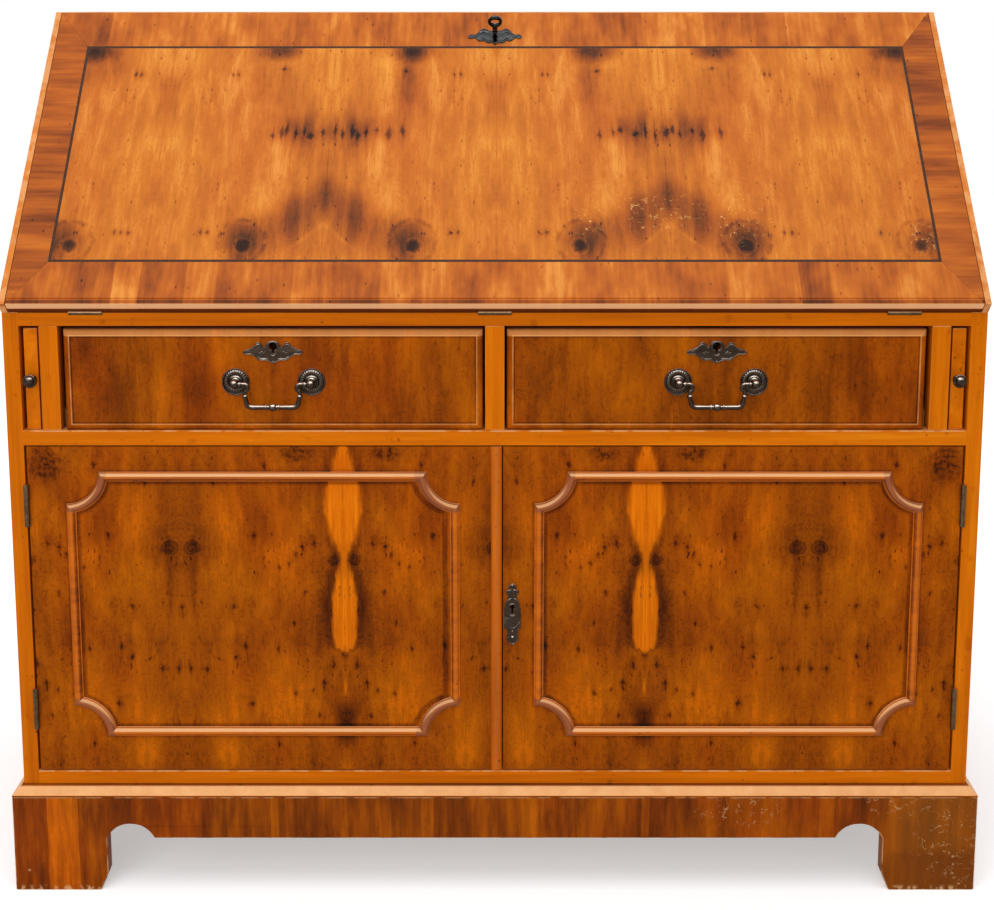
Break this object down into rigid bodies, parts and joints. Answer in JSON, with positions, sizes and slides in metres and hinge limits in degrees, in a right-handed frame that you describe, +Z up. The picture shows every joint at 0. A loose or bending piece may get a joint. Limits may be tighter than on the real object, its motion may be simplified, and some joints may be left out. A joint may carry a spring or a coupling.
{
  "type": "slant-front writing bureau",
  "caption": "Slant-front writing bureau in figured yew veneer: sloping fall over pigeonholes, lopers, drawers with bail handles and a cupboard on bracket feet.",
  "frame": {"origin": "on the floor under the middle of the bureau's overall box", "axes": "+Z up, +Y from the front to the back, +X to the right as seen from the front"},
  "size_m": [1.144, 0.4972, 1.035],
  "materials": {
    "yew_veneer": "polished figured veneer",
    "yew_solid": "polished solid wood",
    "plinth_veneer": "worn polished veneer",
    "pale_wood": "bare sanded wood",
    "dark_string": "polished dark inlay",
    "leather": "hide with a tooled border",
    "antique_bronze": "darkened, rubbed bright on high spots",
    "hinge_brass": "dull aged brass",
    "lock_brass": "brushed brass"
  },
  "bodies": {
    "case": {"side_left": "yew_solid", "side_right": "yew_solid", "top_board": "yew_solid", "top_rail": "yew_solid", "lower_rails": "yew_solid", "drawer_row_stiles": "yew_solid", "plinth_moulding": "yew_solid", "stationery_rack": "yew_solid", "writing_bed": "yew_solid", "plinth_front": "plinth_veneer", "plinth_returns": "plinth_veneer", "back_panel": "pale_wood", "dust_board": "pale_wood", "cupboard_floor": "pale_wood", "cupboard_shelf": "pale_wood", "drawer_row_partitions": "pale_wood", "runner_guides": "pale_wood", "foot_blocks": "pale_wood", "door_stops": "pale_wood", "hinge_frame_leaves": "hinge_brass", "hinge_pins": "hinge_brass", "shelf_pins": "hinge_brass"},
    "fall": {"fall_panel": "yew_veneer", "fall_stringing": "dark_string", "fall_leather": "leather", "fall_hinge_leaves": "hinge_brass", "fall_escutcheon": "antique_bronze", "fall_lock": "lock_brass"},
    "key": {"fall_key": "antique_bronze"},
    "fall_bolt": {"fall_bolt": "lock_brass"},
    "door_lock_bolt": {"door_lock_bolt": "lock_brass"},
    "door_left_bolt": {"door_left_bolt": "lock_brass"},
    "door_left": {"door_left_panel": "yew_veneer", "door_left_moulding": "yew_solid", "door_left_astragal": "yew_solid", "door_left_hinge_leaves": "hinge_brass", "door_left_bolt_plate": "lock_brass"},
    "door_right": {"door_right_panel": "yew_veneer", "door_right_moulding": "yew_solid", "door_right_hinge_leaves": "hinge_brass", "door_escutcheon": "antique_bronze", "door_lock": "lock_brass"},
    "drawer_left": {"drawer_left_front": "yew_veneer", "drawer_left_box": "pale_wood", "drawer_left_fittings": "antique_bronze", "drawer_left_lock": "lock_brass"},
    "bail_left": {"drawer_left_bail": "antique_bronze"},
    "loper_left": {"loper_left": "yew_solid", "loper_knob_left": "antique_bronze"},
    "tray_left": {"tray_left": "yew_solid", "tray_knob_left": "hinge_brass"},
    "drawer_right": {"drawer_right_front": "yew_veneer", "drawer_right_box": "pale_wood", "drawer_right_fittings": "antique_bronze", "drawer_right_lock": "lock_brass"},
    "bail_right": {"drawer_right_bail": "antique_bronze"},
    "loper_right": {"loper_right": "yew_solid", "loper_knob_right": "antique_bronze"},
    "tray_right": {"tray_right": "yew_solid", "tray_knob_right": "hinge_brass"}
  },
  "joints": [
    {"name": "fall_hinge", "type": "hinge", "parent": "case", "child": "fall", "pos_m": [0, -0.2314, 0.699], "axis": [1, 0, 0], "range_deg": [0, 133.5]},
    {"name": "key_turn", "type": "hinge", "parent": "fall", "child": "key", "pos_m": [0, 0.0325, 1.00381], "axis": [0, -0.7254, 0.6884], "range_deg": [0, 90]},
    {"name": "fall_bolt_throw", "type": "slide", "parent": "fall", "child": "fall_bolt", "axis": [0, 0.6884, 0.7254], "range_m": [0, 0.007]},
    {"name": "door_left_hinge", "type": "hinge", "parent": "case", "child": "door_left", "pos_m": [-0.54065, -0.2347, 0.345], "axis": [0, 0, -1], "range_deg": [0, 105]},
    {"name": "door_right_hinge", "type": "hinge", "parent": "case", "child": "door_right", "pos_m": [0.54065, -0.2347, 0.345], "axis": [0, 0, 1], "range_deg": [0, 105]},
    {"name": "door_lock_throw", "type": "slide", "parent": "door_right", "child": "door_lock_bolt", "axis": [-1, 0, 0], "range_m": [0, 0.008]},
    {"name": "door_left_bolt_slide", "type": "slide", "parent": "door_left", "child": "door_left_bolt", "axis": [0, 0, 1], "range_m": [0, 0.01]},
    {"name": "drawer_left_slide", "type": "slide", "parent": "case", "child": "drawer_left", "axis": [0, -1, 0], "range_m": [0, 0.3]},
    {"name": "bail_left_swing", "type": "hinge", "parent": "drawer_left", "child": "bail_left", "pos_m": [-0.253, -0.2434, 0.6185], "axis": [-1, 0, 0], "range_deg": [0, 95]},
    {"name": "loper_left_slide", "type": "slide", "parent": "case", "child": "loper_left", "axis": [0, -1, 0], "range_m": [0, 0.3]},
    {"name": "tray_left_slide", "type": "slide", "parent": "case", "child": "tray_left", "axis": [0, -1, 0], "range_m": [0, 0.11]},
    {"name": "drawer_right_slide", "type": "slide", "parent": "case", "child": "drawer_right", "axis": [0, -1, 0], "range_m": [0, 0.3]},
    {"name": "bail_right_swing", "type": "hinge", "parent": "drawer_right", "child": "bail_right", "pos_m": [0.253, -0.2434, 0.6185], "axis": [-1, 0, 0], "range_deg": [0, 95]},
    {"name": "loper_right_slide", "type": "slide", "parent": "case", "child": "loper_right", "axis": [0, -1, 0], "range_m": [0, 0.3]},
    {"name": "tray_right_slide", "type": "slide", "parent": "case", "child": "tray_right", "axis": [0, -1, 0], "range_m": [0, 0.11]}
  ]
}
